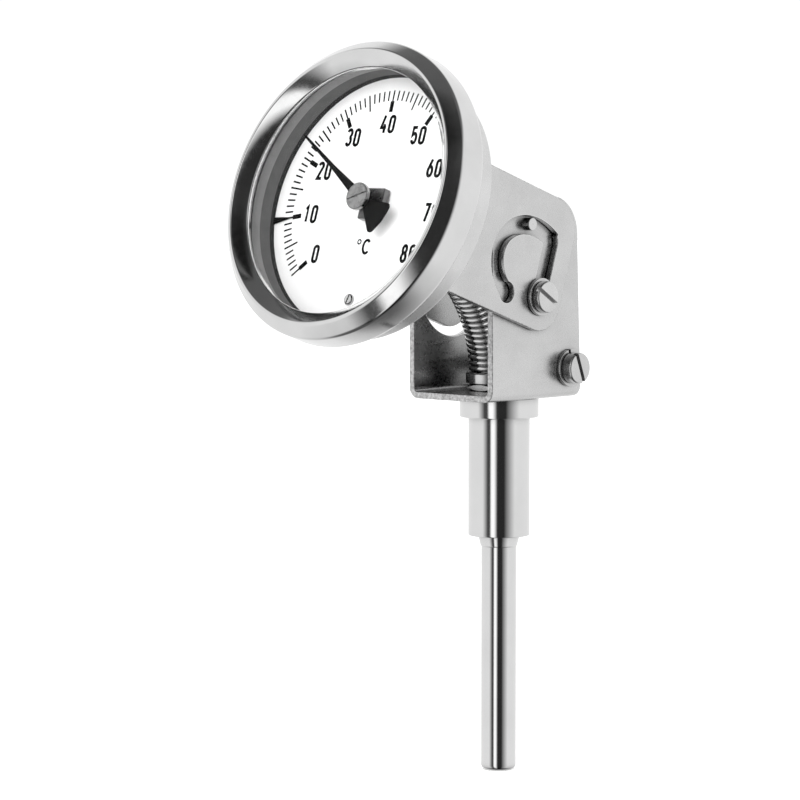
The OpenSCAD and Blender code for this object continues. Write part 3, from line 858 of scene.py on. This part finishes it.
def inner_wall():
    """Lacquered spacer between the dial and the glass, with a black band of painted shade at its foot by the dial,
    and the glass.
    """
    wall, back = 28.95, 29.15
    outline = [(28.6, 0.02), (28.65, 0.4), (28.9, 0.85), (wall, 1.0), (wall, 4.15), (wall + 0.05, 4.25),
               (wall, 4.35), (wall, 6.9), (back, 6.9), (back, 0.02)]
    mesh = lathe("spacer_lacquered", outline, 192)
    for face in mesh.polygons:
        height = face.center.z
        # below 0.98 mm the wall is painted black: painted shade in the gap by the dial's edge
        face.material_index = 2 if height < 0.98 else (1 if height > 4.2 else 0)
    piece("spacer_lacquered", mesh, "case", ["grey", "light_grey", "black_seal_and_gap_shade"], CASE, replaces=["spacer_ring"])
    pane = soften([(0, 5.5), (wall - 0.05, 5.5), (wall - 0.05, 7.0), (0, 7.0)], 0.08)
    piece("window_pane", lathe("window_pane", pane, 192), "case", ["glass"], CASE,
          replaces=["window_glass"])


# ---------------------------------------------------------------- dial


def dial_angle(degrees):
    """Clockwise turn from the top of the dial, of a temperature."""
    return (degrees - 40) / 80 * SWEEP + SCALE_TURN


def around(turn, radius, aside=0.0):
    """Point of the dial at a clockwise turn in degrees, a radius and a step to the right of the spoke."""
    a = math.radians(turn)
    return (radius * math.sin(a) + aside * math.cos(a), radius * math.cos(a) - aside * math.sin(a))


def bar(bm, turn, inner, outer, width):
    """Printed line along a spoke."""
    corners = [(inner, -width / 2), (outer, -width / 2), (outer, width / 2), (inner, width / 2)]
    bm.faces.new([bm.verts.new((*around(turn, r, w), PRINT_H)) for r, w in corners])


def ribbon(bm, points, width, closed=False):
    """Printed line of even width along points."""
    line = [Vector(p) for p in points]
    sides = []
    last = len(line) - 1
    for i, here in enumerate(line):
        before = line[i - 1] if i or closed else here
        after = line[(i + 1) % len(line)] if i < last or closed else here
        one = (here - before).normalized() if (here - before).length else (after - here).normalized()
        two = (after - here).normalized() if (after - here).length else one
        side = Vector((one.y + two.y, -one.x - two.x)).normalized()
        lean = max(0.45, side.dot(Vector((one.y, -one.x))))
        reach = side * width / 2 / lean
        sides.append([bm.verts.new((*(here + reach), PRINT_H)), bm.verts.new((*(here - reach), PRINT_H))])
    pairs = list(zip(sides, sides[1:] + sides[:1])) if closed else list(zip(sides, sides[1:]))
    for (a, b), (c, d) in pairs:
        bm.faces.new((a, b, d, c))


def numeral(digit, wide, high):
    """Centre lines of a narrow digit as (points, closed), with its middle at x 0 and its foot at y 0."""
    r = wide / 2
    top, mid = high - r, high * 0.53
    if digit == "0":
        return [(arc((0, top), r, 0, 180, 14) + arc((0, r), r, 180, 360, 14), True)]
    if digit == "1":
        return [([(-r * 0.55, high * 0.8), (r * 0.25, high), (r * 0.25, 0)], False)]
    if digit == "2":
        return [(arc((0, top), r, 172, -28, 14) + [(-r, 0.02), (r * 1.05, 0.02)], False)]
    if digit == "3":
        low_r = mid / 2
        up_r = (high - mid) / 2
        upper = arc((0, mid + up_r), up_r, 160, -90, 14)
        lower = arc((0, low_r), low_r, 90, -160, 14)
        upper = [(x * r / up_r, y) for x, y in upper]
        lower = [(x * r / low_r, y) for x, y in lower]
        return [(upper, False), (lower, False)]
    if digit == "4":
        return [([(r * 0.1, high + 0.2), (-r * 1.05, high * 0.27), (r * 1.3, high * 0.27)], False),
                ([(r * 0.5, high * 0.5), (r * 0.5, -0.27)], False)]
    if digit == "5":
        bowl_r = high * 0.31
        bowl = [(x * r / bowl_r, y) for x, y in arc((0, bowl_r), bowl_r, 125, -160, 16)]
        return [([(r * 0.9, high), (-r * 0.85, high), (-r * 0.95, high * 0.48)] + bowl, False)]
    if digit == "6":
        bowl_r = high * 0.3
        bowl = [(x * r / bowl_r, y) for x, y in arc((0, bowl_r), bowl_r, 180, 540, 24)]
        return [(bowl, False), ([(r * 0.35, high + 0.2), (-r * 0.75, high * 0.5), (-r, high * 0.3)], False)]
    if digit == "7":
        return [([(-r * 1.05, high), (r * 0.95, high), (-r * 0.25, -0.27)], False)]
    upper_r, lower_r = (high - mid) / 2, mid / 2
    upper = [(x * r * 0.88 / upper_r, y) for x, y in circle((0, mid + upper_r), upper_r, 24)]
    lower = [(x * r / lower_r, y) for x, y in circle((0, lower_r), lower_r, 24)]
    return [(upper, True), (lower, True)]


def printed_number(bm, text, centre, high=4.3, stroke=0.74):
    """Digits side by side about a centre."""
    wide = 1.98
    gap = 0.34
    start = centre[0] - (len(text) * wide + (len(text) - 1) * gap) / 2
    for i, digit in enumerate(text):
        x = start + i * (wide + gap) + wide / 2
        y = centre[1] - high / 2 + stroke / 2
        for points, closed in numeral(digit, wide - stroke, high - stroke):
            ribbon(bm, [(x + px, y + py) for px, py in points], stroke, closed)


def dial_print():
    """Scale lines, numbers and the unit sign of the dial."""
    bm = bmesh.new()
    foot, rim, line = 23.2, 25.7, 0.42
    for degree in range(81):
        turn = dial_angle(degree)
        if degree % 10 == 0:
            bar(bm, turn, 20.7, foot, 1.08)
            bar(bm, turn, foot, rim, line)
            printed_number(bm, str(degree), around(turn, 17.95))
        elif degree % 5 == 0:
            bar(bm, turn, 21.8, rim, line)
        else:
            bar(bm, turn, 23.3, 25.6, 0.4)
    ribbon(bm, circle((-1.0, -8.9), 0.48, 20), 0.34, True)
    letter = [(1.35 + x * 0.95, -9.95 + y * 1.5) for x, y in arc((0, 0), 1, 42, 318, 20)]
    ribbon(bm, letter, 0.64)
    piece("dial_print", finished("dial_print", bm), "case", ["print"], CASE)


def dial():
    """White dial plate."""
    outline = soften([(0, 0), (DIAL_R, 0), (DIAL_R, -0.5), (0, -0.5)], 0.08)
    piece("dial_enamelled", lathe("dial_enamelled", outline, 192), "case", ["white"], CASE,
          replaces=["dial_plate"])


def dial_screw():
    """Small slotted screw near the foot of the dial."""
    outline = soften([(0, 0.75), (1.0, 0.75), (1.25, 0.5), (1.25, 0.01), (0, 0.01)], 0.1)
    head = lathe("dial_screw_head", outline, 48)
    slot = block((-3, -0.18, 0.4), (3, 0.18, 2), 75)
    piece("dial_screw_head", cut(head, [slot]), "case", ["turned"], CASE @ Matrix.Translation((0, -22, 0)),
          replaces=["dial_screw"], even=True)


def bearing_plate():
    """Dark plate behind the hub, with an arm to the right and a stub below."""
    foot = soften([(-1.2, -1.25), (5.2, -1.25), (5.2, 2.65), (-1.2, 2.65)], 0.3, 4)
    stub = soften([(-1.1, -4.3), (1.3, -4.3), (1.3, 0.7), (-1.1, 0.7)], 0.3, 4)
    plate = outline_of([foot, stub, circle((0, 0), 2.4, 40)])
    piece("bearing_plate", slab("bearing_plate", plate, 0.4, 2.3, 0.12), "case", ["dark_steel"], CASE,
          replaces=["bearing_bridge"], even=True)


def at_reading(degrees):
    """Place on the dial turned to a temperature."""
    return CASE @ Matrix.Rotation(-math.radians(dial_angle(degrees)), 4, "Z")


def pointer():
    """Needle with its fan-shaped tail."""
    tail = soften([(1.05, -2.6), (4.0, -8.2), (3.35, -9.0), (0, -9.45), (-3.35, -9.0), (-4.0, -8.2),
                   (-1.05, -2.6)], 0.6, 4)
    right = [(0.24, 25.0), (0.5, 12.5), (0.95, 4.7), (1.2, 2.2)]
    outline = [(0, 25.3)] + right + tail + [(-x, y) for x, y in reversed(right)]
    piece("pointer_needle", slab("pointer_needle", outline, POINTER_TOP - 0.4, POINTER_TOP, 0.05), "pointer",
          ["black"], at_reading(READING), replaces=["pointer"], even=True)


def hub():
    """Slotted hub of the pointer, with a dimple in its middle."""
    outline = soften([(0, HUB_TOP), (2.85, HUB_TOP), (3.05, 5.0), (3.05, 4.15), (0.8, 4.15), (0.8, 2.6),
                      (0, 2.6)], 0.12)
    slot = block((-4, -0.2, HUB_TOP - 0.3), (4, 0.2, 6), 20)
    dimple = lathe("dimple", [(0, 4.6), (0.65, 5.5), (0, 5.5)], 32)
    turned = cut(lathe("pointer_hub_turned", outline, 96), [slot, dimple])
    piece("pointer_hub_turned", turned, "pointer", ["hub"], CASE,
          replaces=["pointer_hub"], even=True)


def set_marker():
    """Black wedge on the rim of the dial."""
    wedge = soften([(-0.8, 28.6), (0, 22.9), (0.8, 28.6)], 0.1, 3)
    piece("set_marker_tip", slab("set_marker_tip", wedge, 0.15, 0.5, 0.05), "set_marker", ["black"],
          at_reading(MARKER_AT), replaces=["set_marker"], even=True)


# ---------------------------------------------------------------- the stage


def aim(thing, spot, target):
    """Puts a camera or lamp at a spot, looking at a target."""
    thing.location = spot
    thing.rotation_euler = (Vector(target) - Vector(spot)).to_track_quat("-Z", "Y").to_euler()


VIEW_TURN = math.radians(42.9)
VIEW_RISE = math.radians(4.32)
VIEW_FAR = 0.8
SIDE = Vector((math.cos(VIEW_TURN), math.sin(VIEW_TURN), 0))
TOWARDS = Vector((math.sin(VIEW_TURN) * math.cos(VIEW_RISE), -math.cos(VIEW_TURN) * math.cos(VIEW_RISE),
                  math.sin(VIEW_RISE)))
ABOVE = TOWARDS.cross(SIDE)


# What the metal mirrors, in degrees to the right of the view: where it starts, where it ends, its light
NARROW_FLAG = (-45, -36, 0.08)
SOFTBOX = (-30, -20, 1.5)
WIDE_FLAG = (-8, 18, 0.03)
ROOM_LEFT = -65
ROOM_RIGHT = 60
ROOM_LIGHT = 1.05
# Share of that light by height, from straight down at 0 to straight up at 1
HEIGHT_LIGHT = [(0.0, 0.1), (0.05, 0.14), (0.1, 0.7), (0.2, 1.0), (0.8, 1.0), (0.9, 0.16), (1.0, 0.12)]
WHITE_LIGHT = 1.05


def camera():
    lens = bpy.data.cameras.new("camera")
    lens.sensor_width = 36
    lens.lens = 158.76
    lens.clip_start = 0.01
    eye = bpy.data.objects.new("camera", lens)
    bpy.context.scene.collection.objects.link(eye)
    target = SIDE * -0.02247 + ABOVE * 0.00373
    aim(eye, target + TOWARDS * VIEW_FAR, target)
    bpy.context.scene.camera = eye


def light_ramp(tree, source, stops):
    """Colour ramp of grey light levels from (position, level) pairs."""
    node = tree.nodes.new("ShaderNodeValToRGB")
    while len(node.color_ramp.elements) < len(stops):
        node.color_ramp.elements.new(0.5)
    for element, (position, level) in zip(node.color_ramp.elements, stops):
        element.position = position
        element.color = (level, level, level, 1)
    tree.links.new(source, node.inputs["Fac"])
    return node.outputs["Color"]


def ring_stops():
    """The mirrored ring, one turn round the stem: the flags and the softbox, with the room on both sides."""
    stops = [(-180, ROOM_LIGHT), (ROOM_LEFT, ROOM_LIGHT)]
    for start, end, light in (NARROW_FLAG, SOFTBOX, WIDE_FLAG):
        stops += [(start, light), (end, light)]
    stops += [(ROOM_RIGHT, ROOM_LIGHT), (180, ROOM_LIGHT)]
    return [(0.5 + angle / 360, light) for angle, light in stops]


def studio():
    """White room; the metal mirrors a ring of flags and one softbox, darker straight up and down."""
    world = bpy.data.worlds.new("studio")
    bpy.context.scene.world = world
    world.use_nodes = True
    tree = world.node_tree
    tree.nodes.clear()
    add, link = tree.nodes.new, tree.links.new
    way = add("ShaderNodeTexCoord").outputs["Generated"]
    turn = add("ShaderNodeVectorRotate")
    turn.rotation_type = "Z_AXIS"
    turn.inputs["Angle"].default_value = math.pi / 2 - VIEW_TURN
    link(way, turn.inputs["Vector"])
    radial = add("ShaderNodeTexGradient")
    radial.gradient_type = "RADIAL"
    link(turn.outputs["Vector"], radial.inputs["Vector"])
    parts = add("ShaderNodeSeparateXYZ")
    link(way, parts.inputs["Vector"])
    height = add("ShaderNodeMapRange")
    height.inputs["From Min"].default_value = -1
    link(parts.outputs["Z"], height.inputs["Value"])
    both = add("ShaderNodeMix")
    both.data_type = "RGBA"
    both.blend_type = "MULTIPLY"
    both.inputs["Factor"].default_value = 1.0
    link(light_ramp(tree, radial.outputs["Fac"], ring_stops()), both.inputs["A"])
    link(light_ramp(tree, height.outputs["Result"], HEIGHT_LIGHT), both.inputs["B"])
    room = add("ShaderNodeBackground")
    link(both.outputs["Result"], room.inputs["Color"])
    white = add("ShaderNodeBackground")
    white.inputs["Color"].default_value = (1, 1, 1, 1)
    white.inputs["Strength"].default_value = WHITE_LIGHT
    path = add("ShaderNodeLightPath")
    mix = add("ShaderNodeMixShader")
    link(path.outputs["Is Glossy Ray"], mix.inputs["Fac"])
    link(white.outputs["Background"], mix.inputs[1])
    link(room.outputs["Background"], mix.inputs[2])
    link(mix.outputs["Shader"], add("ShaderNodeOutputWorld").inputs["Surface"])


def soft_light(name, spot, width, height, power):
    """Area lamp that the metal doesn't mirror."""
    light = bpy.data.lights.new(name, "AREA")
    light.shape = "RECTANGLE"
    light.size, light.size_y, light.energy = width, height, power
    lamp = bpy.data.objects.new(name, light)
    bpy.context.scene.collection.objects.link(lamp)
    lamp.visible_glossy = False
    aim(lamp, spot, (0, -0.02, 0))


def stage_floor():
    """Pale paper; it glows faintly, so that it melts into the white of the room."""
    bm = bmesh.new()
    bmesh.ops.create_circle(bm, cap_ends=True, radius=4, segments=96)
    bmesh.ops.translate(bm, verts=bm.verts, vec=(0, 0, STEM_TIP * MM - 0.0002))
    mesh = finished("floor", bm)
    paint = Paint("floor_paper")
    grain = paint.noise(30, 3)
    paint.link(paint.colours(grain, (0.3, 0.9), (0.7, 0.92)), paint.shader.inputs["Base Color"])
    paint.set(roughness=0.9, emission_color=(1, 1, 1, 1), emission_strength=0.35)
    mesh.materials.append(paint.material)
    floor = bpy.data.objects.new("floor", mesh)
    floor.visible_glossy = False
    bpy.context.scene.collection.objects.link(floor)


def paint_node(node, material):
    """Gives a CAD node that stays visible one of the materials."""
    NODES[node].data.materials.clear()
    NODES[node].data.materials.append(M[material])


# ---------------------------------------------------------------- everything

for plain in ("bimetal_coil", "stem_bush", "slot_bush", "spindle_bush", "dial_post"):
    paint_node(plain, "brass")
for plain in ("stem_shaft", "spindle"):
    paint_node(plain, "turned")
paint_node("glass_gasket", "black_seal_and_gap_shade")

stem()
seat()
fixed_bracket()
case_bracket()
fasteners()
spring()
bezel()
cup()
socket()
inner_wall()
dial()
dial_print()
dial_screw()
bearing_plate()
pointer()
hub()
set_marker()

camera()
studio()
soft_light("front_fill", (0.35, -1.2, 0.6), 0.9, 0.9, 14)
soft_light("key_right", (1.1, 0.1, 0.5), 0.5, 0.7, 8)
stage_floor()
bpy.context.scene.view_settings.view_transform = "Standard"
